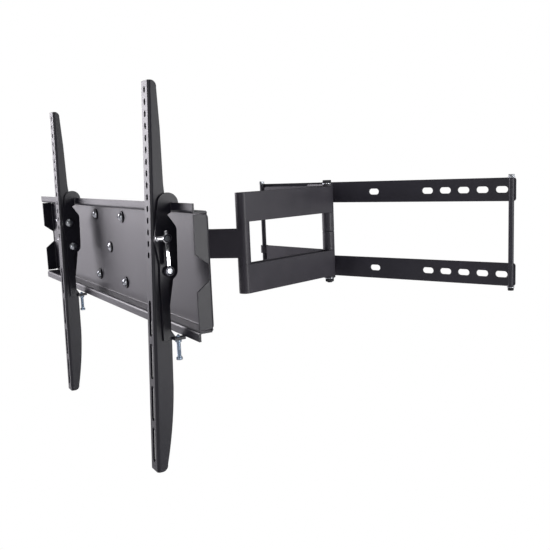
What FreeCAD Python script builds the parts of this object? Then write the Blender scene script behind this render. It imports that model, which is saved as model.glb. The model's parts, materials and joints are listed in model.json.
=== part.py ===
import FreeCAD, Part
import math
import os

# Full motion TV wall mount, in millimetres. The origin is the middle of the wall frame's back face.
# +X is to the right for someone who faces the wall, +Z is up, the wall is at y = 0 and the room is
# towards -Y. The arm's links are each built along their own +X axis and then put in place one after
# the other, from the wall to the television.

# Wall frame
FRAME_HEIGHT = 160.4
RAIL_HEIGHT = 34.4
RAIL_THICKNESS = 3.0
RAIL_CORNER_RADIUS = 4.0
RAIL_EAR = 5.0                   # rail beyond the axis of the post
SLOT_PITCH = 29.3
SLOT_LENGTH = 18.6
SLOT_WIDTH = 9.6
SLOTS_PER_GROUP = 5
FIRST_SLOT = 3.215 * SLOT_PITCH  # middle of the rail to the nearest slot of a group
POST_SPACING = 453.6
POST_RADIUS = 3.9
POST_BORE_RADIUS = 2.7
POST_SEAT = 0.5                  # depth of the seat in the rails that each post is welded into

# Arm
REAR_ARM_LENGTH = 160.3
FRONT_ARM_LENGTH = 198.0
HEAD_ARM_LENGTH = 184.0
ARM_HALF_HEIGHT = 75.3
ARM_BAR_HEIGHT = 43.7
REAR_BAR_THICKNESS = 6.0
KNUCKLE_RADIUS = 9.8             # outside of every thick hinge column
STRAP_THICKNESS = 3.0
HEAD_BAR_HEIGHT = 42.0
SLEEVE_RADIUS = 6.6
LUG_THICKNESS = 3.0
LUG_LENGTH = 42.0
BUSHING_THICKNESS = 0.8
HINGE_BOLT_RADIUS = 4.0
SWIVEL_TO_LIPS = 45.0            # head swivel axis to the front of the TV plate's lips

# Rest pose, in degrees about the vertical
REAR_ARM_ANGLE = -10.6
ELBOW_ANGLE = -86.7
NECK_ANGLE = -59.6
SWIVEL_ANGLE = 133.87
LEFT_TILT = -0.9                 # of each bracket about its own horizontal axis
RIGHT_TILT = -2.37

# Head bracket and TV plate
HEAD_PLATE_WIDTH = 146.0
HEAD_PLATE_HEIGHT = 118.0
HEAD_PLATE_THICKNESS = 3.0
PLATE_BOLT_SPACING_X = 121.4
PLATE_BOLT_SPACING_Z = 95.0
PLATE_BOLT_RADIUS = 3.0
LEVEL_RANGE = 3.0                # degrees each way
TRAY_LENGTH = 688.0
TRAY_DEPTH = 17.4                # front of the lips to the front of the face
SHEET = 2.5
BEND_RADIUS = 1.0                # inside of a bend
FACE_TOP = 61.8
FACE_BOTTOM = -69.0
TOP_LIP = 11.2
BOTTOM_LIP = 11.5
FLAP_SETBACK = 1.0               # flap's front edge behind the lips' front
NOTCH_FRONT = (-25.3, 17.3)      # heights of the flap notch at its front edge
NOTCH_BEND = (-13.0, 5.5)        # and at the bend
RELIEF_RADIUS = 1.9

# TV brackets
BRACKET_LEFT_X = -117.0
BRACKET_RIGHT_X = 283.0
BRACKET_TOP = 214.8              # above the tilt axis
BRACKET_BOTTOM = -242.0
BRACKET_WIDTH = 20.0
BRACKET_FRONT = 18.0             # tilt axis to the front face
PIVOT_FORWARD = 8.0              # tilt axis in front of the lips
PIVOT_HEIGHT = -5.0
SMALL_HOLES = 15
SMALL_HOLE_PITCH = 13.4
SMALL_HOLE_WIDTH = 5.2
SMALL_HOLE_HEIGHT = 7.2
SMALL_HOLE_TOP = 205.0
LONG_SLOTS = 4
LONG_SLOT_PITCH = 51.2
LONG_SLOT_LENGTH = 43.2
LONG_SLOT_WIDTH = 7.0
LONG_SLOT_TOP = -57.0            # middle of the first long slot
HOOK_THICKNESS = 3.0
CLAMP_BOLT_AT = (3.5, 38.5)      # forward of and above the tilt axis
TILT_BACK = 4.0                  # degrees that the top can lean back
TILT_FORWARD = 10.0              # degrees that it can lean forward
TILT_NUT_RADIUS = 6.1
SCREW_RADIUS = 2.5
SCREW_OUTBOARD = 4.6             # axis of the security screw from the flange
SCREW_FORWARD = 1.5              # and in front of the lips
RIGHT_LEVER_REACH = 12.2         # from the plate under the lever's hub to its far end
LEFT_LEVER_REACH = 29.5          # long enough to clear the bracket's face
LEFT_LEVER_LEAN = 20.0           # degrees that the left lever's end stands forward

# Clearances
RUNNING = 0.05                   # radial, of a pin in its hole
SIDE_GAP = 0.5                   # between plates that turn or slide on each other
HOLE_CLEARANCE = 0.1             # radial, of a clamped bolt in its hole
STEP_GAP = 0.3                   # between stacked knuckles
SLEEVE_GAP = 0.4                 # between each hinge sleeve and the rail beside it
SLOT_CLEARANCE = 0.35            # round a bolt that travels in a slot

X_AXIS = FreeCAD.Vector(1, 0, 0)
Y_AXIS = FreeCAD.Vector(0, 1, 0)
Z_AXIS = FreeCAD.Vector(0, 0, 1)
ORIGIN = FreeCAD.Vector(0, 0, 0)

POST_X = POST_SPACING / 2
POST_Y = -(RAIL_THICKNESS + POST_RADIUS - POST_SEAT)
RAIL_INNER = FRAME_HEIGHT / 2 - RAIL_HEIGHT
SLOT_Z = FRAME_HEIGHT / 2 - RAIL_HEIGHT / 2
BAR_LOW = ARM_HALF_HEIGHT - ARM_BAR_HEIGHT
CORE_RADIUS = KNUCKLE_RADIUS - STRAP_THICKNESS
LIP_Y = -SWIVEL_TO_LIPS
FACE_FRONT_Y = LIP_Y + TRAY_DEPTH
FACE_BACK_Y = FACE_FRONT_Y + SHEET
HALF_TRAY = TRAY_LENGTH / 2


# Shapes

def plan(u, v):
    return FreeCAD.Vector(u, v, 0)


def side(u, v):
    return FreeCAD.Vector(0, u, v)


def front(u, v):
    return FreeCAD.Vector(u, 0, v)


def outline(steps, to_space):
    """A face inside a closed outline. A step is a point, or an arc's middle point and end point."""
    edges = []
    here = steps[0]
    for step in steps[1:] + [steps[0]]:
        end = step[-2:]
        if math.dist(here, end) < 1e-9:
            continue
        start_point, end_point = to_space(*here), to_space(*end)
        if len(step) == 4:
            edges.append(Part.Arc(start_point, to_space(*step[:2]), end_point).toShape())
        else:
            edges.append(Part.LineSegment(start_point, end_point).toShape())
        here = end
    return Part.Face(Part.Wire(edges))


def plan_prism(steps, low, high):
    prism = outline(steps, plan).extrude(Z_AXIS * (high - low))
    prism.translate(Z_AXIS * low)
    return prism


def side_prism(steps, low, high):
    prism = outline(steps, side).extrude(X_AXIS * (high - low))
    prism.translate(X_AXIS * low)
    return prism


def front_prism(steps, low, high):
    prism = outline(steps, front).extrude(Y_AXIS * (high - low))
    prism.translate(Y_AXIS * low)
    return prism


def box(x, y, z):
    """A box between the two values given along each axis."""
    low = FreeCAD.Vector(x[0], y[0], z[0])
    return Part.makeBox(x[1] - x[0], y[1] - y[0], z[1] - z[0], low)


def rod(radius, low, high, axis=Z_AXIS, at=ORIGIN):
    return Part.makeCylinder(radius, high - low, at + axis * low, axis)


def ring(outer, inner, low, high, axis=Z_AXIS, at=ORIGIN):
    return rod(outer, low, high, axis, at).cut(rod(inner, low, high, axis, at))


def chamfered_rod(radius, low, high, chamfer, axis=Z_AXIS, at=ORIGIN):
    body = rod(radius, low + chamfer, high - chamfer, axis, at)
    inner = radius - chamfer
    lower = Part.makeCone(inner, radius, chamfer, at + axis * low, axis)
    upper = Part.makeCone(radius, inner, chamfer, at + axis * (high - chamfer), axis)
    return body.fuse([lower, upper]).removeSplitter()


def dome(radius, height, base, axis=Z_AXIS, at=ORIGIN):
    """A low round head that stands on a base across the axis."""
    sphere_radius = (radius ** 2 + height ** 2) / (2 * height)
    ball = Part.makeSphere(sphere_radius, at + axis * (base + height - sphere_radius))
    return ball.common(rod(radius + 1, base, base + height, axis, at))


def hexagon(across_flats, low, high, axis=Z_AXIS, at=ORIGIN):
    """A hexagonal head or nut with chamfered corners."""
    corner = across_flats / math.sqrt(3)
    points = [(corner * math.cos(k * math.pi / 3), corner * math.sin(k * math.pi / 3)) for k in range(6)]
    prism = plan_prism(points, low, high)
    prism = prism.common(chamfered_rod(corner * 0.98, low, high, (corner - across_flats / 2) * 0.8))
    prism.Placement = FreeCAD.Placement(at, FreeCAD.Rotation(Z_AXIS, axis))
    return prism


def slot(length, width, low, high, to_space, along):
    """A slot with round ends, centred on the origin, cut along the given axis."""
    half, radius = (length - width) / 2, width / 2
    steps = [(-half, -radius), (half, -radius), (half + radius, 0, half, radius),
             (-half, radius), (-half - radius, 0, -half, -radius)]
    prism = outline(steps, to_space).extrude(along * (high - low))
    prism.translate(along * low)
    return prism


def moved(shape, x=0.0, y=0.0, z=0.0):
    result = shape.copy()
    result.translate(FreeCAD.Vector(x, y, z))
    return result


def mirrored(shape, normal):
    return shape.mirror(ORIGIN, normal)


def group(shapes):
    return Part.makeCompound(shapes)


def turn(angle, axis=Z_AXIS, at=ORIGIN):
    return FreeCAD.Placement(at, FreeCAD.Rotation(axis, angle))


def strap(length, low, high):
    """A steel strap folded into a closed loop round the two ends of a bar."""
    def loop(radius):
        return plan_prism([(0, -radius), (length, -radius), (length + radius, 0, length, radius),
                           (0, radius), (-radius, 0, 0, -radius)], low, high)
    return loop(KNUCKLE_RADIUS).cut(loop(CORE_RADIUS))


# Places of the links

REAR_PLACE = turn(REAR_ARM_ANGLE, at=FreeCAD.Vector(-POST_X, POST_Y, 0))
FRONT_PLACE = REAR_PLACE * turn(ELBOW_ANGLE, at=FreeCAD.Vector(REAR_ARM_LENGTH, 0, 0))
HEAD_PLACE = FRONT_PLACE * turn(NECK_ANGLE, at=FreeCAD.Vector(FRONT_ARM_LENGTH, 0, 0))
PLATE_PLACE = HEAD_PLACE * turn(SWIVEL_ANGLE, at=FreeCAD.Vector(HEAD_ARM_LENGTH, 0, 0))

parts = {}


def add(name, shape, place=None):
    result = shape.copy()
    if place is not None:
        result.Placement = place * result.Placement
    parts[name] = result


# Wall frame

def rail(middle):
    half_length = POST_X + RAIL_EAR
    half_height = RAIL_HEIGHT / 2
    plate = box((-half_length, half_length), (-RAIL_THICKNESS, 0),
                (middle - half_height, middle + half_height))
    corners = [edge for edge in plate.Edges
               if abs(abs(edge.CenterOfMass.x) - half_length) < 1e-6 and abs(edge.tangentAt(0).y) > 0.9]
    plate = plate.makeFillet(RAIL_CORNER_RADIUS, corners)
    hole = slot(SLOT_LENGTH, SLOT_WIDTH, -RAIL_THICKNESS, 0, front, Y_AXIS)
    places = [0.0]
    for number in range(SLOTS_PER_GROUP):
        offset = FIRST_SLOT + number * SLOT_PITCH
        places += [offset, -offset]
    seats = [rod(POST_RADIUS, middle - half_height, middle + half_height, at=FreeCAD.Vector(x, POST_Y, 0))
             for x in (-POST_X, POST_X)]
    return plate.cut([moved(hole, x, 0, middle) for x in places] + seats)


def wall_frame():
    half = FRAME_HEIGHT / 2
    washer, head, nut = 1.2, 3.6, 4.4
    bolt_radius = POST_BORE_RADIUS - 0.2
    add("upper_rail", rail(SLOT_Z))
    add("lower_rail", rail(-SLOT_Z))
    bolts, washers, nuts = [], [], []
    for name, x in (("left_post", -POST_X), ("right_post", POST_X)):
        axis = FreeCAD.Vector(x, POST_Y, 0)
        add(name, ring(POST_RADIUS, POST_BORE_RADIUS, -half, half, at=axis))
        shank = rod(bolt_radius, -half - washer - nut + 1.0, half + washer, at=axis)
        bolts.append(shank.fuse(hexagon(8.0, half + washer, half + washer + head, at=axis)))
        for low, high in ((half, half + washer), (-half - washer, -half)):
            washers.append(ring(5.2, bolt_radius + HOLE_CLEARANCE, low, high, at=axis))
        cap = hexagon(8.0, -half - washer - nut, -half - washer, at=axis)
        nuts.append(cap.cut(rod(bolt_radius, -half - washer - nut + 1.0, -half - washer, at=axis)))
    add("post_bolts", group(bolts))
    add("post_washers", group(washers))
    add("post_nuts", group(nuts))


# Rear arm: two flat bars that turn on the left post, with the elbow's lugs above and below

def rear_arm():
    sleeve_top = RAIL_INNER - SLEEVE_GAP
    bar_end = REAR_ARM_LENGTH - KNUCKLE_RADIUS - 4.2
    post_clearance = 9.0
    half = REAR_BAR_THICKNESS / 2
    shape = [(0, BAR_LOW), (bar_end, BAR_LOW), (bar_end, ARM_HALF_HEIGHT),
             (post_clearance + 4, ARM_HALF_HEIGHT), (post_clearance, ARM_HALF_HEIGHT - 4),
             (post_clearance, sleeve_top), (0, sleeve_top)]
    bar = front_prism(shape, -half, half).cut(rod(SLEEVE_RADIUS, 0, ARM_HALF_HEIGHT))
    sleeve = ring(SLEEVE_RADIUS, POST_RADIUS + RUNNING, BAR_LOW, sleeve_top)
    lug_top = ARM_HALF_HEIGHT + LUG_THICKNESS
    lug_start = REAR_ARM_LENGTH - LUG_LENGTH
    elbow = FreeCAD.Vector(REAR_ARM_LENGTH, 0, 0)
    web = plan_prism([(lug_start, -half), (REAR_ARM_LENGTH, -KNUCKLE_RADIUS),
                      (REAR_ARM_LENGTH, KNUCKLE_RADIUS), (lug_start, half)], ARM_HALF_HEIGHT, lug_top)
    lug = web.fuse(rod(KNUCKLE_RADIUS, ARM_HALF_HEIGHT, lug_top, at=elbow)).removeSplitter()
    lug = lug.cut(rod(HINGE_BOLT_RADIUS + HOLE_CLEARANCE, ARM_HALF_HEIGHT, lug_top, at=elbow))
    bushing = ring(KNUCKLE_RADIUS - 0.6, HINGE_BOLT_RADIUS + HOLE_CLEARANCE,
                   ARM_HALF_HEIGHT - BUSHING_THICKNESS, ARM_HALF_HEIGHT, at=elbow)
    for level, flip in (("upper", False), ("lower", True)):
        for name, piece in (("bar", bar), ("sleeve", sleeve), ("lug", lug)):
            add(f"rear_{level}_{name}", mirrored(piece, Z_AXIS) if flip else piece, REAR_PLACE)
    washer, head, nut = 1.4, 5.0, 5.5
    washers = [ring(7.6, HINGE_BOLT_RADIUS + HOLE_CLEARANCE, low, low + washer, at=elbow)
               for low in (lug_top, -lug_top - washer)]
    shank = rod(HINGE_BOLT_RADIUS, -lug_top - washer - nut - 1.5, lug_top + washer, at=elbow)
    head_shape = hexagon(13.0, lug_top + washer, lug_top + washer + head, at=elbow)
    add("elbow_bolt", shank.fuse(head_shape), REAR_PLACE)
    add("elbow_washers", group(washers), REAR_PLACE)
    nut_body = hexagon(13.0, -lug_top - washer - nut, -lug_top - washer, at=elbow)
    add("elbow_nut", nut_body.cut(shank), REAR_PLACE)
    add("elbow_bushings", group([bushing, mirrored(bushing, Z_AXIS)]), REAR_PLACE)


# Front arm: two folded straps on four tubes

def front_arm():
    tube_top = ARM_HALF_HEIGHT - BUSHING_THICKNESS
    strap_top = tube_top
    bore = HINGE_BOLT_RADIUS + RUNNING
    seam = 0.15
    bar = strap(FRONT_ARM_LENGTH, BAR_LOW, strap_top)
    barrel = chamfered_rod(KNUCKLE_RADIUS, seam, BAR_LOW, 0.7)
    tube = barrel.fuse(rod(CORE_RADIUS, BAR_LOW - 1, tube_top)).cut(rod(bore, 0, tube_top))
    neck = FreeCAD.Vector(FRONT_ARM_LENGTH, 0, 0)
    head_depth = 5.5
    neck_tube_top = strap_top - head_depth
    neck_tube = ring(CORE_RADIUS, HINGE_BOLT_RADIUS + HOLE_CLEARANCE, BAR_LOW + STEP_GAP, neck_tube_top,
                     at=neck)
    for level, flip in (("upper", False), ("lower", True)):
        for name, piece in (("front_{}_bar", bar), ("elbow_{}_tube", tube), ("neck_{}_tube", neck_tube)):
            add(name.format(level), mirrored(piece, Z_AXIS) if flip else piece, FRONT_PLACE)
    cap = chamfered_rod(6.5, neck_tube_top, neck_tube_top + head_depth - 0.3, 0.6, at=neck)
    socket = hexagon(6.0, neck_tube_top + 2.0, neck_tube_top + head_depth, at=neck)
    cap = cap.cut(socket)
    shank = rod(HINGE_BOLT_RADIUS, -neck_tube_top - 3.0, neck_tube_top, at=neck)
    add("neck_bolt", shank.fuse(cap), FRONT_PLACE)
    add("neck_nut", mirrored(cap, Z_AXIS).cut(shank), FRONT_PLACE)
    spacer = ring(KNUCKLE_RADIUS - 0.5, HINGE_BOLT_RADIUS + HOLE_CLEARANCE,
                  BAR_LOW - STEP_GAP, BAR_LOW + STEP_GAP, at=neck)
    spacer = spacer.cut(ring(KNUCKLE_RADIUS, CORE_RADIUS, BAR_LOW, BAR_LOW + STEP_GAP, at=neck))
    add("neck_bushings", group([spacer, mirrored(spacer, Z_AXIS)]), FRONT_PLACE)


# Head arm: one folded strap between the neck and the swivel

def head_arm():
    half = HEAD_BAR_HEIGHT / 2
    knuckle_top = BAR_LOW - STEP_GAP
    bore = HINGE_BOLT_RADIUS + RUNNING
    add("head_bar", strap(HEAD_ARM_LENGTH, -half, half), HEAD_PLACE)
    collar = rod(KNUCKLE_RADIUS, half, knuckle_top)
    knuckle = rod(CORE_RADIUS, -knuckle_top, knuckle_top).fuse([collar, mirrored(collar, Z_AXIS)])
    add("neck_knuckle", knuckle.cut(rod(bore, -knuckle_top, knuckle_top)), HEAD_PLACE)
    swivel = FreeCAD.Vector(HEAD_ARM_LENGTH, 0, 0)
    add("swivel_knuckle", ring(CORE_RADIUS, bore, -half, half, at=swivel), HEAD_PLACE)


# Head bracket, bolted to the back of the TV plate

def plate_bolt_places():
    half_x, half_z = PLATE_BOLT_SPACING_X / 2, PLATE_BOLT_SPACING_Z / 2
    return [(0, 0), (half_x, half_z), (-half_x, half_z), (half_x, -half_z), (-half_x, -half_z)]


def head_bracket():
    back = FACE_BACK_Y + HEAD_PLATE_THICKNESS
    half_width, half_height = HEAD_PLATE_WIDTH / 2, HEAD_PLATE_HEIGHT / 2
    plate = box((-half_width, half_width), (FACE_BACK_Y, back), (-half_height, half_height))
    plate = plate.makeFillet(8.0, [edge for edge in plate.Edges if abs(edge.tangentAt(0).y) > 0.9])
    holes = [rod(PLATE_BOLT_RADIUS + HOLE_CLEARANCE, FACE_BACK_Y, back, Y_AXIS, front(x, z))
             for x, z in plate_bolt_places()]
    add("head_plate", plate.cut(holes), PLATE_PLACE)
    lug_low = HEAD_BAR_HEIGHT / 2 + BUSHING_THICKNESS
    lug_high = lug_low + LUG_THICKNESS
    lug_radius, lug_root = 12.0, 34.0
    web = plan_prism([(-lug_root, back), (lug_root, back), (lug_radius, 0), (-lug_radius, 0)],
                     lug_low, lug_high)
    lug = web.fuse(rod(lug_radius, lug_low, lug_high)).removeSplitter()
    lug = lug.cut(rod(HINGE_BOLT_RADIUS + HOLE_CLEARANCE, lug_low, lug_high))
    add("swivel_upper_lug", lug, PLATE_PLACE)
    add("swivel_lower_lug", mirrored(lug, Z_AXIS), PLATE_PLACE)
    bushing = ring(KNUCKLE_RADIUS - 0.6, HINGE_BOLT_RADIUS + HOLE_CLEARANCE, HEAD_BAR_HEIGHT / 2, lug_low)
    add("swivel_bushings", group([bushing, mirrored(bushing, Z_AXIS)]), PLATE_PLACE)
    shank = rod(HINGE_BOLT_RADIUS, -lug_high - 7.0, lug_high)
    add("swivel_bolt", shank.fuse(hexagon(13.0, lug_high, lug_high + 5.0)), PLATE_PLACE)
    nut = hexagon(13.0, -lug_high - 6.0, -lug_high).cut(shank)
    add("swivel_nut", nut, PLATE_PLACE)

    washer_front = FACE_FRONT_Y - 1.6
    bolts, washers, nuts = [], [], []
    for x, z in plate_bolt_places():
        at = front(x, z)
        shank = rod(PLATE_BOLT_RADIUS, washer_front, back + 5.5, Y_AXIS, at)
        head_height = 2.4 if (x, z) == (0, 0) else 4.0
        head = dome(6.2, head_height, -washer_front, -Y_AXIS, at)
        bolts.append(shank.fuse(head).cut(hexagon(4.0, head_height - 1.6 - washer_front,
                                                  head_height + 1 - washer_front, -Y_AXIS, at)))
        washers.append(ring(8.5, PLATE_BOLT_RADIUS + HOLE_CLEARANCE, washer_front, FACE_FRONT_Y, Y_AXIS, at))
        nuts.append(hexagon(10.0, back, back + 4.5, Y_AXIS, at).cut(shank))
    add("plate_bolts", group(bolts), PLATE_PLACE)
    add("plate_washers", group(washers), PLATE_PLACE)
    add("plate_nuts", group(nuts), PLATE_PLACE)


# TV plate: a shallow folded tray, open towards the television

def tray_section():
    """The section of the tray, from the tip of the top lip to the tip of the bottom lip."""
    outer = BEND_RADIUS + SHEET
    top, bottom = FACE_TOP + SHEET, FACE_BOTTOM - SHEET
    lip_back = LIP_Y + SHEET

    def arc_middle(centre_y, centre_z, radius, toward_y, toward_z):
        reach = radius * math.sqrt(0.5)
        return centre_y + toward_y * reach, centre_z + toward_z * reach

    front_corner_y = LIP_Y + outer
    steps = [(LIP_Y, FACE_TOP + TOP_LIP)]
    steps.append((LIP_Y, FACE_TOP + outer))
    steps.append(arc_middle(front_corner_y, FACE_TOP + outer, outer, -1, -1) + (front_corner_y, FACE_TOP))
    inner_y = FACE_FRONT_Y - BEND_RADIUS
    steps.append((inner_y, FACE_TOP))
    steps.append(arc_middle(inner_y, FACE_TOP - BEND_RADIUS, BEND_RADIUS, 1, 1)
                 + (FACE_FRONT_Y, FACE_TOP - BEND_RADIUS))
    steps.append((FACE_FRONT_Y, FACE_BOTTOM + BEND_RADIUS))
    steps.append(arc_middle(inner_y, FACE_BOTTOM + BEND_RADIUS, BEND_RADIUS, 1, -1) + (inner_y, FACE_BOTTOM))
    steps.append((front_corner_y, FACE_BOTTOM))
    steps.append(arc_middle(front_corner_y, FACE_BOTTOM - outer, outer, -1, 1) + (LIP_Y, FACE_BOTTOM - outer))
    steps.append((LIP_Y, FACE_BOTTOM - BOTTOM_LIP))
    steps.append((lip_back, FACE_BOTTOM - BOTTOM_LIP))
    steps.append((lip_back, bottom - BEND_RADIUS))
    steps.append(arc_middle(lip_back + BEND_RADIUS, bottom - BEND_RADIUS, BEND_RADIUS, -1, 1)
                 + (lip_back + BEND_RADIUS, bottom))
    steps.append((inner_y, bottom))
    steps.append(arc_middle(inner_y, FACE_BOTTOM + BEND_RADIUS, outer, 1, -1)
                 + (FACE_BACK_Y, FACE_BOTTOM + BEND_RADIUS))
    steps.append((FACE_BACK_Y, FACE_TOP - BEND_RADIUS))
    steps.append(arc_middle(inner_y, FACE_TOP - BEND_RADIUS, outer, 1, 1) + (inner_y, top))
    steps.append((lip_back + BEND_RADIUS, top))
    steps.append(arc_middle(lip_back + BEND_RADIUS, top + BEND_RADIUS, BEND_RADIUS, -1, -1)
                 + (lip_back, top + BEND_RADIUS))
    steps.append((lip_back, FACE_TOP + TOP_LIP))
    return steps


def end_flap():
    """The folded end of the tray on the +X side, with its notch."""
    outer = BEND_RADIUS + SHEET
    bend_x, bend_y = HALF_TRAY - outer, FACE_BACK_Y - outer
    flap_front = LIP_Y + FLAP_SETBACK
    diagonal = math.sqrt(0.5)
    steps = [(bend_x, FACE_BACK_Y),
             (bend_x + outer * diagonal, bend_y + outer * diagonal, HALF_TRAY, bend_y),
             (HALF_TRAY, flap_front), (HALF_TRAY - SHEET, flap_front), (HALF_TRAY - SHEET, bend_y),
             (bend_x + BEND_RADIUS * diagonal, bend_y + BEND_RADIUS * diagonal, bend_x, FACE_FRONT_Y)]
    low, high = FACE_BOTTOM + 1.4, FACE_TOP - 1.4
    flap = plan_prism(steps, low, high)
    notch = side_prism([(LIP_Y - 1, NOTCH_FRONT[1]), (flap_front, NOTCH_FRONT[1]), (bend_y, NOTCH_BEND[1]),
                        (bend_y, NOTCH_BEND[0]), (flap_front, NOTCH_FRONT[0]), (LIP_Y - 1, NOTCH_FRONT[0])],
                       HALF_TRAY - outer, HALF_TRAY + 1)
    corner = 6.0
    cutters = [notch]
    for edge, inward in ((high, -1), (low, 1)):
        turn_y, turn_z = FACE_BACK_Y - corner, edge + inward * corner
        cutters.append(side_prism([(FACE_BACK_Y, turn_z), (FACE_BACK_Y + 1, turn_z),
                                   (FACE_BACK_Y + 1, edge - inward), (turn_y, edge - inward), (turn_y, edge),
                                   (turn_y + corner * diagonal, turn_z - inward * corner * diagonal,
                                    FACE_BACK_Y, turn_z)],
                                  bend_x, HALF_TRAY + 1))
    return flap.cut(cutters)


def tv_plate():
    outer = BEND_RADIUS + SHEET
    tray = side_prism(tray_section(), -HALF_TRAY, HALF_TRAY)
    # the face stops at the bends of the end flaps, and the shelves and lips run on
    for end in (-1, 1):
        low, high = sorted((end * (HALF_TRAY - outer), end * (HALF_TRAY + 1)))
        tray = tray.cut(box((low, high), (FACE_FRONT_Y - BEND_RADIUS, FACE_BACK_Y + 1),
                            (FACE_BOTTOM - SHEET - 1, FACE_TOP + SHEET + 1)))
    flap = end_flap()
    tray = tray.fuse([flap, mirrored(flap, X_AXIS)]).removeSplitter()
    cutters = [rod(RELIEF_RADIUS, FACE_FRONT_Y - 1, FACE_BACK_Y + 1, Y_AXIS, front(x, z))
               for x in (-HALF_TRAY + outer, HALF_TRAY - outer) for z in (FACE_BOTTOM + 1.4, FACE_TOP - 1.4)]
    cutters.append(rod(PLATE_BOLT_RADIUS + RUNNING, FACE_FRONT_Y, FACE_BACK_Y, Y_AXIS))
    for x, z in plate_bolt_places()[1:]:
        reach = math.hypot(x, z) * math.sin(math.radians(LEVEL_RANGE))
        width = 2 * (PLATE_BOLT_RADIUS + SLOT_CLEARANCE)
        hole = slot(2 * (reach + SLOT_CLEARANCE) + width, width, FACE_FRONT_Y, FACE_BACK_Y, front, Y_AXIS)
        # the slot lies across the line from the middle bolt
        hole.rotate(ORIGIN, Y_AXIS, -math.degrees(math.atan2(z, x)) - 90)
        cutters.append(moved(hole, x, 0, z))
    add("tv_plate", tray.cut(cutters), PLATE_PLACE)


# TV brackets and their hooks: y = 0 is the tilt axis and x = 0 is the flange's side that faces the
# hook plate. Both sets are alike but for their bolts, which go in from opposite sides.

def clamp_slot():
    """The curved slot in the bracket's flange that the clamp bolt travels in."""
    forward, above = CLAMP_BOLT_AT
    radius = math.hypot(forward, above)
    level = math.degrees(math.atan2(above, -forward))
    half = PLATE_BOLT_RADIUS + SLOT_CLEARANCE

    def at(distance, angle):
        return distance * math.cos(math.radians(angle)), distance * math.sin(math.radians(angle))

    first, last = level - TILT_FORWARD, level + TILT_BACK
    middle = (first + last) / 2
    over = math.degrees(half / radius)
    return side_prism([at(radius - half, first), at(radius, first - over) + at(radius + half, first),
                       at(radius + half, middle) + at(radius + half, last),
                       at(radius, last + over) + at(radius - half, last),
                       at(radius - half, middle) + at(radius - half, first)],
                      -SHEET - 1, 1)


def bracket():
    outer = BEND_RADIUS + SHEET
    diagonal = math.sqrt(0.5)
    corner = -BRACKET_FRONT + outer
    rear = 14.0
    section = [(0, rear), (-SHEET, rear), (-SHEET, corner),
               (-outer + BEND_RADIUS * diagonal, corner - BEND_RADIUS * diagonal,
                -outer, -BRACKET_FRONT + SHEET),
               (-BRACKET_WIDTH, -BRACKET_FRONT + SHEET), (-BRACKET_WIDTH, -BRACKET_FRONT),
               (-outer, -BRACKET_FRONT),
               (-outer + outer * diagonal, corner - outer * diagonal, 0, corner)]
    angle_bar = plan_prism(section, BRACKET_BOTTOM, BRACKET_TOP)
    # side view, forward is -y: narrow at the top, wide at the tilt bolt, notched for the bottom lip
    blade = [(-BRACKET_FRONT - 1, BRACKET_TOP + 1), (-14.0, BRACKET_TOP + 1), (-14.0, BRACKET_TOP),
             (-9.5, BRACKET_TOP - 2.5, -8.0, BRACKET_TOP - 8.0),
             (-4.9, 162.0), (-2.5, 99.0), (-0.5, 81.0), (-0.5, 62.0), (8.5, 49.0), (9.5, 42.0),
             (9.5, 14.0), (6.5, -15.0), (1.0, -51.0), (-5.0, -52.0), (-6.5, -54.0), (-6.5, -78.0),
             (-5.0, -80.0), (4.0, -82.0), (4.5, -141.0),
             (0.6, -198.0, -5.0, BRACKET_BOTTOM + 8.0), (-7.1, BRACKET_BOTTOM + 2.0, -12.0, BRACKET_BOTTOM),
             (-BRACKET_FRONT - 1, BRACKET_BOTTOM)]
    body = angle_bar.common(side_prism(blade, -BRACKET_WIDTH - 1, 1))
    middle_x = -(BRACKET_WIDTH + SHEET) / 2
    low, high = -BRACKET_FRONT - 1, -BRACKET_FRONT + SHEET + 1
    small = slot(SMALL_HOLE_HEIGHT, SMALL_HOLE_WIDTH, low, high, lambda u, v: front(v, u), Y_AXIS)
    large = slot(LONG_SLOT_LENGTH, LONG_SLOT_WIDTH, low, high, lambda u, v: front(v, u), Y_AXIS)
    cutters = [moved(small, middle_x, 0, SMALL_HOLE_TOP - k * SMALL_HOLE_PITCH) for k in range(SMALL_HOLES)]
    cutters += [moved(large, middle_x, 0, LONG_SLOT_TOP - k * LONG_SLOT_PITCH) for k in range(LONG_SLOTS)]
    cutters.append(rod(PLATE_BOLT_RADIUS + RUNNING, -SHEET - 1, 1, X_AXIS))
    cutters.append(clamp_slot())
    return body.cut(cutters)


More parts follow.
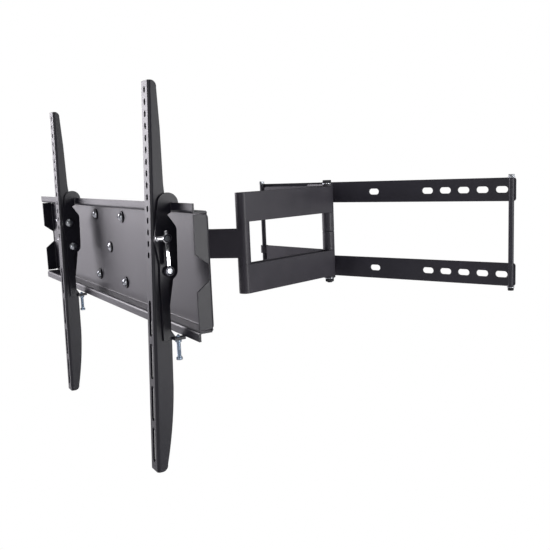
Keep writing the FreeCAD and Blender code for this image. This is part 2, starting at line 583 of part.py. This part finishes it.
def hook_plate():
    """The plate that hangs on the top lip and carries the tilting bracket."""
    def at(forward, height):
        return -(forward - PIVOT_FORWARD), height - PIVOT_HEIGHT

    ear_forward, ear_height, ear_radius = 3.5, 72.0, 12.7
    lip_top = FACE_TOP + TOP_LIP
    boss = 11.5
    diagonal = math.sqrt(0.5)
    tab_low, tab_high = -87.0, -84.0
    steps = [at(ear_forward + ear_radius, ear_height),
             at(ear_forward, ear_height + ear_radius) + at(ear_forward - ear_radius, ear_height),
             at(ear_forward - ear_radius, 67.5), at(-7.7, 66.0), at(-SHEET - 0.7, 66.0),
             at(-SHEET - 0.7, lip_top + 0.1), at(0.5, lip_top + 0.1), at(0.5, 62.0), at(5.0, 59.5),
             at(-4.4, 46.0), at(-5.3, 42.0), at(PIVOT_FORWARD - boss - 0.4, 3.0),
             at(PIVOT_FORWARD - boss, PIVOT_HEIGHT),
             at(PIVOT_FORWARD - boss * diagonal, PIVOT_HEIGHT - boss * diagonal)
             + at(PIVOT_FORWARD - 1.5, PIVOT_HEIGHT - boss + 0.1),
             at(8.5, -21.0), at(9.0, -76.0), at(4.0, tab_high), at(-6.0, tab_high), at(-6.0, tab_low),
             at(19.0, tab_low), at(19.0, -22.0), at(18.0, 3.0), at(22.7, 30.6), at(18.0, 62.0)]
    low, high = SIDE_GAP, SIDE_GAP + HOOK_THICKNESS
    plate = side_prism(steps, low, high)
    tab_front, tab_back = at(8.0, 0)[0], at(-6.0, 0)[0]
    tab = box((high - 0.5, SCREW_OUTBOARD + 5.0), (tab_front, tab_back),
              (tab_low - PIVOT_HEIGHT, tab_high - PIVOT_HEIGHT))
    screw_at = FreeCAD.Vector(SCREW_OUTBOARD, at(SCREW_FORWARD, 0)[0], 0)
    holes = [rod(PLATE_BOLT_RADIUS + HOLE_CLEARANCE, low, high, X_AXIS, side(y, z))
             for y, z in ((0, 0), (-CLAMP_BOLT_AT[0], CLAMP_BOLT_AT[1]))]
    holes.append(rod(SCREW_RADIUS + RUNNING, tab_low - PIVOT_HEIGHT, tab_high - PIVOT_HEIGHT, at=screw_at))
    nut_high = tab_low - PIVOT_HEIGHT
    nut = hexagon(7.0, nut_high - 3.2, nut_high, at=screw_at)
    nut = nut.cut(rod(SCREW_RADIUS + RUNNING, nut_high - 3.2, nut_high, at=screw_at))
    return plate.fuse(tab).removeSplitter().cut(holes), nut, screw_at


def tilt_hardware(head_base, nut_base, toward_nut, lever_reach):
    """The tilt bolt, its nut and the clamp bolt. The bases are measured along the bolts' direction."""
    nut_height = 6.0
    shank = rod(PLATE_BOLT_RADIUS, head_base, nut_base + nut_height - 1.0, toward_nut)
    bolt = shank.fuse(dome(6.6, 4.2, -head_base, -toward_nut))
    knurl = chamfered_rod(TILT_NUT_RADIUS, nut_base, nut_base + nut_height, 0.8, toward_nut).cut(shank)
    clamp_at = side(-CLAMP_BOLT_AT[0], CLAMP_BOLT_AT[1])
    clamp = rod(PLATE_BOLT_RADIUS, head_base, nut_base + lever_reach + 0.8, toward_nut, clamp_at)
    return bolt, knurl, clamp.fuse(dome(6.5, 4.0, -head_base, -toward_nut, clamp_at))


def clamp_lever(base, reach, lean, toward_nut):
    """A lever on the clamp bolt, hanging down from its hub."""
    low = base + 0.2
    high = base + reach
    at = side(-CLAMP_BOLT_AT[0], CLAMP_BOLT_AT[1])
    hub = chamfered_rod(5.6, low, high, 0.7, toward_nut, at)
    arm_half_width, arm_half_depth, arm_end = 2.5, 2.2, 31.3
    middle = at + toward_nut * (high - 3.4)
    arm = box((middle.x - arm_half_depth, middle.x + arm_half_depth),
              (at.y - arm_half_width, at.y + arm_half_width), (at.z - arm_end, at.z - 3))
    arm = arm.makeFillet(0.9, [edge for edge in arm.Edges if abs(edge.tangentAt(0).z) > 0.9])
    groove_depth, groove_half_width = 1.0, 0.5
    for outer in (middle.x - arm_half_depth, middle.x + arm_half_depth):
        arm = arm.cut(box((outer - groove_depth, outer + groove_depth),
                          (at.y - groove_half_width, at.y + groove_half_width),
                          (at.z - arm_end + 2.0, at.z - 7.0)))
    stub_radius, stub_end = 3.0, 11.5
    forward = rod(stub_radius, 2.0, stub_end, -Y_AXIS, middle)
    forward = forward.fuse(dome(stub_radius, 2.0, stub_end, -Y_AXIS, middle))
    upward = chamfered_rod(2.6, 2.0, 9.0, 0.7, Z_AXIS, middle)
    lever = hub.fuse([arm, forward, upward]).removeSplitter()
    lever = lever.cut(rod(PLATE_BOLT_RADIUS + RUNNING, low - 1, high + 1, toward_nut, at))
    lever.rotate(at, X_AXIS, -lean)
    return lever


def security_screw(at):
    tip = FACE_BOTTOM - BOTTOM_LIP - 0.7 - PIVOT_HEIGHT
    bottom = tip - 27.0
    point = Part.makeCone(SCREW_RADIUS, 1.2, 1.6, at + Z_AXIS * (tip - 1.6), Z_AXIS)
    shank = rod(SCREW_RADIUS, bottom, tip - 1.6, at=at)
    head = chamfered_rod(3.9, bottom - 3.5, bottom, 0.6, at=at)
    drive = hexagon(3.0, bottom - 3.5, bottom - 1.5, at=at)
    return shank.fuse([point, head]).removeSplitter().cut(drive)


def brackets():
    bracket_shape = bracket()
    hook, screw_nut, screw_at = hook_plate()
    screw = security_screw(screw_at)
    hook_side, flange_side = SIDE_GAP + HOOK_THICKNESS, SHEET + STEP_GAP
    right = (-flange_side, hook_side, X_AXIS, RIGHT_LEVER_REACH)
    left = (-hook_side, flange_side, -X_AXIS, LEFT_LEVER_REACH)
    for name, x, tilt, lean, bolts in (("left", BRACKET_LEFT_X, LEFT_TILT, LEFT_LEVER_LEAN, left),
                                       ("right", BRACKET_RIGHT_X, RIGHT_TILT, 0.0, right)):
        head_base, nut_base, toward_nut, reach = bolts
        bolt, knurl, clamp = tilt_hardware(head_base, nut_base, toward_nut, reach)
        lever = clamp_lever(nut_base, reach, lean, toward_nut)
        pivot = PLATE_PLACE * FreeCAD.Placement(FreeCAD.Vector(x, LIP_Y - PIVOT_FORWARD, PIVOT_HEIGHT),
                                                FreeCAD.Rotation())
        add(f"{name}_tv_bracket", bracket_shape, pivot * turn(tilt, X_AXIS))
        for piece_name, piece in (("hook_plate", hook), ("tilt_bolt", bolt), ("tilt_nut", knurl),
                                  ("clamp_bolt", clamp), ("clamp_lever", lever),
                                  ("security_screw", screw), ("security_nut", screw_nut)):
            add(f"{name}_{piece_name}", piece, pivot)


wall_frame()
rear_arm()
front_arm()
head_arm()
head_bracket()
tv_plate()
brackets()

os.makedirs("parts", exist_ok=True)
for node, shape in parts.items():
    shape.exportStep(f"parts/{node}.step")
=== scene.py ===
import json
import math

import bmesh
import bpy
from mathutils import Matrix, Vector


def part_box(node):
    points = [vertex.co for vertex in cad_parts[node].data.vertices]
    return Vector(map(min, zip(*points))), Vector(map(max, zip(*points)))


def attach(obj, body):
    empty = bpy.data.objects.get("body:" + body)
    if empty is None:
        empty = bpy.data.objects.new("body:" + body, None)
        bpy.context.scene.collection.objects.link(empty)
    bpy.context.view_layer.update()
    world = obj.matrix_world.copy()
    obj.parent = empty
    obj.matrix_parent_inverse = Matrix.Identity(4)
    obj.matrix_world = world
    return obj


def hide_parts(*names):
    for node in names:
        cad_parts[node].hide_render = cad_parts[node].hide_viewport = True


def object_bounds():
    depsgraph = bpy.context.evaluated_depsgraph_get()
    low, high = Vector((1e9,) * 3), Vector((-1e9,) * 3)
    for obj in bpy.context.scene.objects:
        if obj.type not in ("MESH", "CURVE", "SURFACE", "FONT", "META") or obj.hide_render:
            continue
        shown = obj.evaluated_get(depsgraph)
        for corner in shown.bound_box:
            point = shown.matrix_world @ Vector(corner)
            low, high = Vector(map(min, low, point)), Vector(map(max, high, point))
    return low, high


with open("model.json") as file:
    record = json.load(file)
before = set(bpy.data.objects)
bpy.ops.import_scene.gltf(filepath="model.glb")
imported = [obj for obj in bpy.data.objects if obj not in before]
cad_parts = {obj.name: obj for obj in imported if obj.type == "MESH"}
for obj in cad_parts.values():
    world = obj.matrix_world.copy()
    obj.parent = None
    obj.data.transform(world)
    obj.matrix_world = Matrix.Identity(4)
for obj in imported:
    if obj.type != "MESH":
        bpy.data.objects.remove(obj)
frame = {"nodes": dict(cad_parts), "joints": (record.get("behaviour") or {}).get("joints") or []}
CAD_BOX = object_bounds()
MM = 0.001

# ---------------------------------------------------------------- directions taken from the joints

joints = {joint["name"]: joint for joint in frame["joints"]}
UP = Vector((0, 0, 1))
PLATE_RIGHT = Vector(joints["left_slide"]["axis"]).normalized()
TOWARD_TV = Vector(joints["level_pivot"]["axis"]).normalized()


def pivot(joint):
    return Vector(joints[joint]["pos_m"])


# ---------------------------------------------------------------- materials

def new_material(name):
    material = bpy.data.materials.new(name)
    material.use_nodes = True
    return material, material.node_tree.nodes, material.node_tree.links


def noise(nodes, links, scale, detail=3.0, stretch=(1, 1, 1)):
    """A noise texture in object space; scale is in features per metre."""
    place = nodes.new("ShaderNodeTexCoord")
    mapping = nodes.new("ShaderNodeMapping")
    mapping.inputs["Scale"].default_value = stretch
    texture = nodes.new("ShaderNodeTexNoise")
    texture.inputs["Scale"].default_value = scale
    texture.inputs["Detail"].default_value = detail
    links.new(place.outputs["Object"], mapping.inputs["Vector"])
    links.new(mapping.outputs["Vector"], texture.inputs["Vector"])
    return texture.outputs["Fac"]


def spread(nodes, links, value, low, high):
    """Maps a noise value's middle range to the range from low to high."""
    mapped = nodes.new("ShaderNodeMapRange")
    mapped.inputs["From Min"].default_value = 0.3
    mapped.inputs["From Max"].default_value = 0.7
    mapped.inputs["To Min"].default_value = low
    mapped.inputs["To Max"].default_value = high
    links.new(value, mapped.inputs["Value"])
    return mapped.outputs["Result"]


def mix_colour(nodes, links, factor, first, second):
    mixed = nodes.new("ShaderNodeMix")
    mixed.data_type = "RGBA"
    links.new(factor, mixed.inputs["Factor"])
    for socket, colour in ((mixed.inputs[6], first), (mixed.inputs[7], second)):
        if hasattr(colour, "is_linked"):
            links.new(colour, socket)
        else:
            socket.default_value = (*colour, 1)
    return mixed.outputs[2]


def edge_mask(nodes, links, radius):
    """0 on flat stretches and 1 on edges, where a bevelled normal leaves the true one."""
    bevel = nodes.new("ShaderNodeBevel")
    bevel.inputs["Radius"].default_value = radius
    geometry = nodes.new("ShaderNodeNewGeometry")
    product = nodes.new("ShaderNodeVectorMath")
    product.operation = "DOT_PRODUCT"
    mask = nodes.new("ShaderNodeMapRange")
    mask.inputs["From Min"].default_value = 0.99
    mask.inputs["From Max"].default_value = 0.75
    links.new(bevel.outputs["Normal"], product.inputs[0])
    links.new(geometry.outputs["Normal"], product.inputs[1])
    links.new(product.outputs["Value"], mask.inputs["Value"])
    return mask.outputs["Result"], bevel


def powder_coat(name, colour, roughness=0.42, edge_gain=1.5):
    """Satin black powder coat: fine orange peel, faint mottling and a painted highlight that makes the edges
    a little lighter.
    """
    material, nodes, links = new_material(name)
    shader = nodes["Principled BSDF"]
    shader.inputs["Specular IOR Level"].default_value = 0.5
    peel = noise(nodes, links, 900, 2.0)
    grain = noise(nodes, links, 3200, 2.0)
    cloud = noise(nodes, links, 28, 4.0)
    mask, bevel = edge_mask(nodes, links, 0.5 * MM)
    bevel.samples = 4
    tone = spread(nodes, links, cloud, 0, 1)
    dark = [c * 0.9 for c in colour]
    light = [c * 1.12 for c in colour]
    # painted highlight: the base colour is lighter along the edges, standing in for light caught by the edges
    edge = [min(1, c * edge_gain + 0.01) for c in colour]
    base = mix_colour(nodes, links, tone, dark, light)
    painted_edge_highlight = mix_colour(nodes, links, mask, base, edge)
    links.new(painted_edge_highlight, shader.inputs["Base Color"])
    rough = spread(nodes, links, grain, roughness - 0.06, roughness + 0.07)
    links.new(rough, shader.inputs["Roughness"])
    bump = nodes.new("ShaderNodeBump")
    bump.inputs["Strength"].default_value = 0.22
    bump.inputs["Distance"].default_value = 0.05 * MM
    links.new(peel, bump.inputs["Height"])
    links.new(bevel.outputs["Normal"], bump.inputs["Normal"])
    fine = nodes.new("ShaderNodeBump")
    fine.inputs["Strength"].default_value = 0.12
    fine.inputs["Distance"].default_value = 0.02 * MM
    links.new(grain, fine.inputs["Height"])
    links.new(bump.outputs["Normal"], fine.inputs["Normal"])
    links.new(fine.outputs["Normal"], shader.inputs["Normal"])
    return material


def plated(name, colour, roughness, tint, streak=(1, 1, 12), scratch=0.1):
    """Plated metal: a metallic base with a drifting tint, drawn streaks and tiny scratches."""
    material, nodes, links = new_material(name)
    shader = nodes["Principled BSDF"]
    shader.inputs["Metallic"].default_value = 1.0
    cloud = noise(nodes, links, 160, 3.0)
    drawn = noise(nodes, links, 900, 2.0, streak)
    mask, bevel = edge_mask(nodes, links, 0.25 * MM)
    bevel.samples = 4
    tone = spread(nodes, links, cloud, 0, 1)
    base = mix_colour(nodes, links, tone, colour, tint)
    # painted highlight: the base colour is a little lighter along the edges, standing in for light caught by
    # the edges
    edge = [min(1, c * 1.15) for c in colour]
    links.new(mix_colour(nodes, links, mask, base, edge), shader.inputs["Base Color"])
    links.new(spread(nodes, links, drawn, roughness * 0.7, roughness * 1.4), shader.inputs["Roughness"])
    bump = nodes.new("ShaderNodeBump")
    bump.inputs["Strength"].default_value = scratch
    bump.inputs["Distance"].default_value = 0.02 * MM
    links.new(drawn, bump.inputs["Height"])
    links.new(bevel.outputs["Normal"], bump.inputs["Normal"])
    links.new(bump.outputs["Normal"], shader.inputs["Normal"])
    return material


def moulded(name, colour, roughness):
    """Moulded nylon: fine texture and a soft sheen."""
    material, nodes, links = new_material(name)
    shader = nodes["Principled BSDF"]
    shader.inputs["Specular IOR Level"].default_value = 0.4
    grain = noise(nodes, links, 2200, 3.0)
    cloud = noise(nodes, links, 120, 2.0)
    tone = spread(nodes, links, cloud, 0, 1)
    base = mix_colour(nodes, links, tone, colour, [c * 1.4 for c in colour])
    links.new(base, shader.inputs["Base Color"])
    links.new(spread(nodes, links, grain, roughness - 0.05, roughness + 0.08), shader.inputs["Roughness"])
    bump = nodes.new("ShaderNodeBump")
    bump.inputs["Strength"].default_value = 0.2
    bump.inputs["Distance"].default_value = 0.03 * MM
    links.new(grain, bump.inputs["Height"])
    links.new(bump.outputs["Normal"], shader.inputs["Normal"])
    return material


FRAME_BLACK = powder_coat("frame_black", (0.034, 0.032, 0.044), 0.38)
ARM_BLACK = powder_coat("arm_black", (0.055, 0.051, 0.064), 0.38)
PLATE_GREY = powder_coat("plate_grey", (0.013, 0.012, 0.020), 0.36)
BRACKET_GREY = powder_coat("bracket_grey", (0.016, 0.015, 0.023), 0.40)
ZINC = plated("zinc", (0.62, 0.63, 0.65), 0.28, (0.52, 0.55, 0.60))
SCREW_ZINC = plated("screw_zinc", (0.50, 0.60, 0.72), 0.24, (0.42, 0.50, 0.62))
BLACK_STEEL = plated("black_steel", (0.045, 0.045, 0.048), 0.38, (0.030, 0.030, 0.034))
CHROME = plated("chrome", (0.80, 0.80, 0.82), 0.10, (0.74, 0.75, 0.78), scratch=0.05)
GUNMETAL = plated("gunmetal", (0.17, 0.17, 0.19), 0.34, (0.12, 0.12, 0.14))
NYLON = moulded("nylon", (0.020, 0.020, 0.020), 0.5)


def material_for(node):
    if node.endswith(("_rail", "_post")):
        return FRAME_BLACK
    if "bushings" in node:
        return NYLON
    if node.endswith("tv_bracket"):
        return BRACKET_GREY
    if node.endswith("hook_plate") or node == "tv_plate":
        return PLATE_GREY
    if node.endswith("clamp_lever"):
        return CHROME
    if node.endswith("tilt_nut"):
        return GUNMETAL
    if "security" in node:
        return SCREW_ZINC
    if node in ("elbow_bolt", "elbow_nut", "neck_bolt", "neck_nut", "post_nuts", "plate_washers"):
        return BLACK_STEEL
    if any(word in node for word in ("bolt", "nut", "washers")):
        return ZINC
    return ARM_BLACK


for node, obj in frame["nodes"].items():
    obj.data.materials.clear()
    obj.data.materials.append(material_for(node))

# ---------------------------------------------------------------- details

# in millimetres; the weld seams stop a little short of the edges that they join
NUT_RADIUS, NUT_BORE, NUT_HEIGHT, NUT_SEAT = 6.1, 3.06, 6.0, 1.2
RIGHT_NUT_BASE, LEFT_NUT_BASE = 3.5, 2.8
SCREW_RADIUS, SCREW_HEAD_RADIUS, SCREW_HEAD_HEIGHT = 2.5, 3.9, 3.5
HINGE_THREAD_RADIUS, PLATE_THREAD_RADIUS = 4.03, 3.03
PLATE_BOLT_HALF_X, PLATE_BOLT_HALF_Z = 60.7, 47.5
PLATE_NUT_BACK = 10.0
SLEEVE_SEAM_X, SLEEVE_SEAM_Y, SLEEVE_SEAM_Z = 6.1, 3.3, (32.4, 44.6)
LUG_SEAM_X, LUG_SEAM_Y, LUG_SEAM_Z = (119.5, 145.0), 3.1, 75.2
SWIVEL_SEAM_X, SWIVEL_SEAM_Y, SWIVEL_SEAM_Z = (-32, 32), 5.6, (21.8, 24.8)
POST_SEAM_ASIDE, POST_SEAM_FORWARD, POST_SEAM_INSET = 2.4, 0.1, 4
SLEEVE_BEAD, LUG_BEAD, SWIVEL_BEAD, POST_BEAD = 1.1, 1.0, 1.1, 0.9
RIPPLE_PITCH, FADE_LENGTH, WANDER_LENGTH = 1.7, 1.5, 6.3


def add_piece(name, bm, material, body, replaced=None, smooth=True):
    """Makes a piece from a bmesh that is already in its place, riding on a CAD body."""
    bmesh.ops.recalc_face_normals(bm, faces=bm.faces)
    mesh = bpy.data.meshes.new(name)
    bm.to_mesh(mesh)
    bm.free()
    for face in mesh.polygons:
        face.use_smooth = smooth
    mesh.materials.append(material)
    piece = bpy.data.objects.new(name, mesh)
    bpy.context.scene.collection.objects.link(piece)
    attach(piece, body)
    if replaced:
        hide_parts(replaced)


def add_turned(bm, rows, segments, origin, axis, ring_shaped=False):
    """Rings across an axis. A row is a distance along it and a radius, or a function from angle to radius."""
    first = axis.orthogonal().normalized()
    second = axis.cross(first)
    rings = []
    for along, radius in rows:
        ring = []
        for k in range(segments):
            angle = 2 * math.pi * k / segments
            reach = radius(angle) if callable(radius) else radius
            out = first * math.cos(angle) + second * math.sin(angle)
            ring.append(bm.verts.new(origin + axis * (along * MM) + out * (reach * MM)))
        rings.append(ring)
    if ring_shaped:
        pairs = list(zip(rings, rings[1:] + rings[:1]))
    else:
        pairs = list(zip(rings, rings[1:]))
        bm.faces.new(list(reversed(rings[0])))
        bm.faces.new(rings[-1])
    for lower, upper in pairs:
        for k in range(segments):
            after = (k + 1) % segments
            bm.faces.new((lower[k], lower[after], upper[after], upper[k]))


def thread_rows(radius, pitch, depth, low, high):
    """Rows of a helical thread with rounded crests."""
    count = max(4, round((high - low) / pitch * 6))

    def ridge(along):
        def at(angle):
            turn = (along / pitch - angle / (2 * math.pi)) % 1.0
            return radius - depth * (0.5 + 0.5 * math.cos(2 * math.pi * turn))
        return at

    places = [low + (high - low) * k / count for k in range(count + 1)]
    return [(along, ridge(along)) for along in places]


def knurl(radius, depth, teeth):
    return lambda angle: radius - depth * abs(2 * ((angle * teeth / (2 * math.pi)) % 1.0) - 1)


def link_place(start, end):
    """Places points given in millimetres along a link, across it and up."""
    origin = pivot(start)
    along = (pivot(end) - origin).normalized()
    across = UP.cross(along)
    return lambda x, y, z: origin + (along * x + across * y + UP * z) * MM


def add_bead(bm, start, end, radius):
    """A weld bead: overlapping ripples along a seam, fading at both ends."""
    length = (end - start).length
    along = (end - start).normalized()
    first = along.orthogonal().normalized()
    second = along.cross(first)
    step, segments = 0.35 * MM, 10
    count = max(8, int(length / step))
    rings = []
    for k in range(count + 1):
        distance = length * k / count
        ripple = 0.86 + 0.14 * abs(math.sin(math.pi * distance / (RIPPLE_PITCH * MM)))
        fade = min(1.0, 0.25 + min(distance, length - distance) / (FADE_LENGTH * MM))
        wander = 0.08 * math.sin(distance / (WANDER_LENGTH * MM))
        centre = start + along * distance + first * (wander * radius * MM)
        reach = radius * ripple * fade * MM
        rings.append([bm.verts.new(centre + (first * math.cos(a) + second * math.sin(a)) * reach)
                      for a in (2 * math.pi * n / segments for n in range(segments))])
    for lower, upper in zip(rings, rings[1:]):
        for k in range(segments):
            after = (k + 1) % segments
            bm.faces.new((lower[k], lower[after], upper[after], upper[k]))
    bm.faces.new(list(reversed(rings[0])))
    bm.faces.new(rings[-1])


def plate_point(x, y, z):
    """A point given in millimetres from the middle bolt: right along the plate, away from the TV, up."""
    return pivot("level_pivot") + (PLATE_RIGHT * x - TOWARD_TV * y + UP * z) * MM


def tilt_nuts():
    radius, bore, height, seat = NUT_RADIUS, NUT_BORE, NUT_HEIGHT, NUT_SEAT
    teeth = knurl(radius, 0.45, 26)
    # the bolts go in from opposite sides, so the nuts face away from each other
    for side, toward_nut, base in (("right", PLATE_RIGHT, RIGHT_NUT_BASE),
                                   ("left", -PLATE_RIGHT, LEFT_NUT_BASE)):
        rows = [(base, radius - 0.7), (base + 0.6, teeth), (base + 2.6, teeth), (base + 2.75, radius - 0.5),
                (base + 3.05, radius - 0.5), (base + 3.2, teeth), (base + height - 0.9, teeth),
                (base + height - 0.25, radius - 0.55), (base + height, radius - 0.9),
                (base + height, 4.6), (base + height - 0.35, 4.35), (base + height - seat, 3.9),
                (base + height - seat, bore), (base, bore)]
        bm = bmesh.new()
        add_turned(bm, rows, 208, pivot(f"{side}_tilt"), toward_nut, ring_shaped=True)
        add_piece(f"{side}_knurled_nut", bm, GUNMETAL, f"{side}_hook",
                  f"{side}_tilt_nut", smooth=False)


def security_screws():
    pitch, depth = 0.8, 0.42
    for side in ("left", "right"):
        low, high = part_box(f"{side}_security_screw")
        foot = Vector(((low.x + high.x) / 2, (low.y + high.y) / 2, low.z))
        length = (high.z - low.z) / MM
        grip = knurl(SCREW_HEAD_RADIUS, 0.3, 18)
        rows = [(1.8, 1.65), (0.0, 1.75), (0.0, 3.2), (0.5, grip), (2.9, grip), (3.4, 3.1),
                (SCREW_HEAD_HEIGHT, SCREW_RADIUS)]
        rows += thread_rows(SCREW_RADIUS, pitch, depth, SCREW_HEAD_HEIGHT + 0.4, length - 1.6)
        rows += [(length - 1.1, 1.9), (length - 0.4, 1.4), (length, 0.9)]
        bm = bmesh.new()
        add_turned(bm, rows, 36, foot, UP)
        add_piece(f"{side}_threaded_screw", bm, SCREW_ZINC, f"{side}_screw", f"{side}_security_screw")


def bolt_tails():
    """The threaded ends of the bolts, where they come through their nuts."""
    hinge_bolts = (("elbow", "rear_arm", BLACK_STEEL, "black_steel"),
                   ("swivel", "head_bracket", ZINC, "zinc"))
    for name, body, material, slot in hinge_bolts:
        origin = pivot(f"{name}_pivot")
        origin.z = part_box(f"{name}_bolt")[0].z
        bm = bmesh.new()
        rows = [(0.0, 3.3)] + thread_rows(HINGE_THREAD_RADIUS, 0.6, 0.3, 0.15, 2.4)
        add_turned(bm, rows, 36, origin, UP)
        add_piece(f"{name}_bolt_thread", bm, material, body)
    bm = bmesh.new()
    half_x, half_z = PLATE_BOLT_HALF_X, PLATE_BOLT_HALF_Z
    for x, z in ((0, 0), (half_x, half_z), (-half_x, half_z), (half_x, -half_z), (-half_x, -half_z)):
        rows = thread_rows(PLATE_THREAD_RADIUS, 0.5, 0.25, -1.2, 0.85) + [(0.98, 2.5)]
        add_turned(bm, rows, 30, plate_point(x, PLATE_NUT_BACK, z), -TOWARD_TV)
    add_piece("plate_bolt_threads", bm, ZINC, "head_bracket")


def weld_beads():
    rear = link_place("wall_pivot", "elbow_pivot")
    bm = bmesh.new()
    for level in (1, -1):
        for edge in (-1, 1):
            start, end = (rear(SLEEVE_SEAM_X, edge * SLEEVE_SEAM_Y, level * z) for z in SLEEVE_SEAM_Z)
            add_bead(bm, start, end, SLEEVE_BEAD)
            start, end = (rear(x, edge * LUG_SEAM_Y, level * LUG_SEAM_Z) for x in LUG_SEAM_X)
            add_bead(bm, start, end, LUG_BEAD)
    add_piece("rear_arm_welds", bm, ARM_BLACK, "rear_arm")
    bm = bmesh.new()
    for level in (1, -1):
        for z in SWIVEL_SEAM_Z:
            start, end = (plate_point(x, SWIVEL_SEAM_Y, level * z) for x in SWIVEL_SEAM_X)
            add_bead(bm, start, end, SWIVEL_BEAD)
    add_piece("swivel_lug_welds", bm, ARM_BLACK, "head_bracket")
    bm = bmesh.new()
    for rail in ("upper_rail", "lower_rail"):
        low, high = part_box(rail)
        for post in ("left_post", "right_post"):
            post_low, post_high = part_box(post)
            middle = (post_low.x + post_high.x) / 2
            for edge in (-1, 1):
                x = middle + edge * POST_SEAM_ASIDE * MM
                y = low.y - POST_SEAM_FORWARD * MM
                start = Vector((x, y, low.z + POST_SEAM_INSET * MM))
                end = Vector((x, y, high.z - POST_SEAM_INSET * MM))
                add_bead(bm, start, end, POST_BEAD)
    add_piece("post_welds", bm, FRAME_BLACK, "wall_frame")


tilt_nuts()
security_screws()
bolt_tails()
weld_beads()

# ---------------------------------------------------------------- floor, light and camera


def build_stage():
    low = CAD_BOX[0]
    half_size, drop = 14.0, 0.45
    floor_mesh = bpy.data.meshes.new("floor")
    bm = bmesh.new()
    bmesh.ops.create_grid(bm, x_segments=8, y_segments=8, size=half_size)
    bm.to_mesh(floor_mesh)
    bm.free()
    floor = bpy.data.objects.new("floor", floor_mesh)
    floor.location = (0, 0, low.z - drop)
    bpy.context.scene.collection.objects.link(floor)
    material, nodes, links = new_material("pale_floor")
    shader = nodes["Principled BSDF"]
    shader.inputs["Base Color"].default_value = (0.9, 0.9, 0.9, 1)
    shader.inputs["Roughness"].default_value = 0.9
    shader.inputs["Specular IOR Level"].default_value = 0.1
    # a lightbox: the camera sees the floor glow, while all other rays meet a plain pale floor
    path = nodes.new("ShaderNodeLightPath")
    glow = nodes.new("ShaderNodeEmission")
    glow.inputs["Color"].default_value = (1, 1, 1, 1)
    glow.inputs["Strength"].default_value = 1.0
    shown = nodes.new("ShaderNodeMixShader")
    links.new(path.outputs["Is Camera Ray"], shown.inputs["Fac"])
    links.new(shader.outputs["BSDF"], shown.inputs[1])
    links.new(glow.outputs["Emission"], shown.inputs[2])
    links.new(shown.outputs["Shader"], nodes["Material Output"].inputs["Surface"])
    floor_mesh.materials.append(material)


def area_light(name, place, target, size, power, colour=(1, 1, 1)):
    data = bpy.data.lights.new(name, "AREA")
    data.shape = "RECTANGLE"
    data.size, data.size_y = size
    data.energy = power
    data.color = colour
    lamp = bpy.data.objects.new(name, data)
    lamp.location = place
    lamp.rotation_mode = "QUATERNION"
    lamp.rotation_quaternion = (Vector(target) - Vector(place)).to_track_quat("-Z", "Y")
    bpy.context.scene.collection.objects.link(lamp)


def build_light():
    middle = (CAD_BOX[0] + CAD_BOX[1]) / 2
    world = bpy.data.worlds.new("studio")
    bpy.context.scene.world = world
    world.use_nodes = True
    nodes, links = world.node_tree.nodes, world.node_tree.links
    path = nodes.new("ShaderNodeLightPath")
    seen = nodes["Background"]
    seen.inputs["Color"].default_value = (1, 1, 1, 1)
    seen.inputs["Strength"].default_value = 1.0
    ambient = nodes.new("ShaderNodeBackground")
    ambient.inputs["Color"].default_value = (0.97, 0.97, 1, 1)
    ambient.inputs["Strength"].default_value = 0.14
    chosen = nodes.new("ShaderNodeMixShader")
    links.new(path.outputs["Is Camera Ray"], chosen.inputs["Fac"])
    links.new(ambient.outputs["Background"], chosen.inputs[1])
    links.new(seen.outputs["Background"], chosen.inputs[2])
    links.new(chosen.outputs["Shader"], nodes["World Output"].inputs["Surface"])
    area_light("key", (-3.0, -0.75, 0.70), middle, (1.0, 1.3), 46, (0.98, 0.94, 1.0))
    area_light("graze", (-3.0, -0.25, 0.05), middle, (1.0, 1.3), 8, (0.96, 0.92, 1.0))
    area_light("front", (0.3, -3.2, 0.3), middle, (0.9, 0.9), 10)
    area_light("back", (2.0, 1.1, 0.5), middle, (1.2, 1.4), 11)
    area_light("strip", (2.4, -0.45, 0.0), middle, (0.25, 1.6), 17)
    area_light("top", (0.0, -0.3, 2.6), middle, (2.0, 2.0), 6)


LENS, SENSOR = 46.6, 36
CAMERA_PLACE = (0.5612, -1.050, 0.1057)
CAMERA_RIGHT = (0.8088, 0.5866, -0.0408)
CAMERA_FORWARD = (-0.5856, 0.7972, -0.1466)


def build_camera():
    data = bpy.data.cameras.new("camera")
    data.lens = LENS
    data.sensor_width = SENSOR
    data.clip_start, data.clip_end = 0.05, 60
    camera = bpy.data.objects.new("camera", data)
    right = Vector(CAMERA_RIGHT).normalized()
    forward = Vector(CAMERA_FORWARD).normalized()
    up = right.cross(forward).normalized()
    right = forward.cross(up).normalized()
    turn = Matrix((right, up, -forward)).transposed()
    camera.matrix_world = Matrix.Translation(CAMERA_PLACE) @ turn.to_4x4()
    bpy.context.scene.collection.objects.link(camera)
    bpy.context.scene.camera = camera


bpy.context.scene.view_settings.view_transform = "Standard"
build_stage()
build_light()
build_camera()
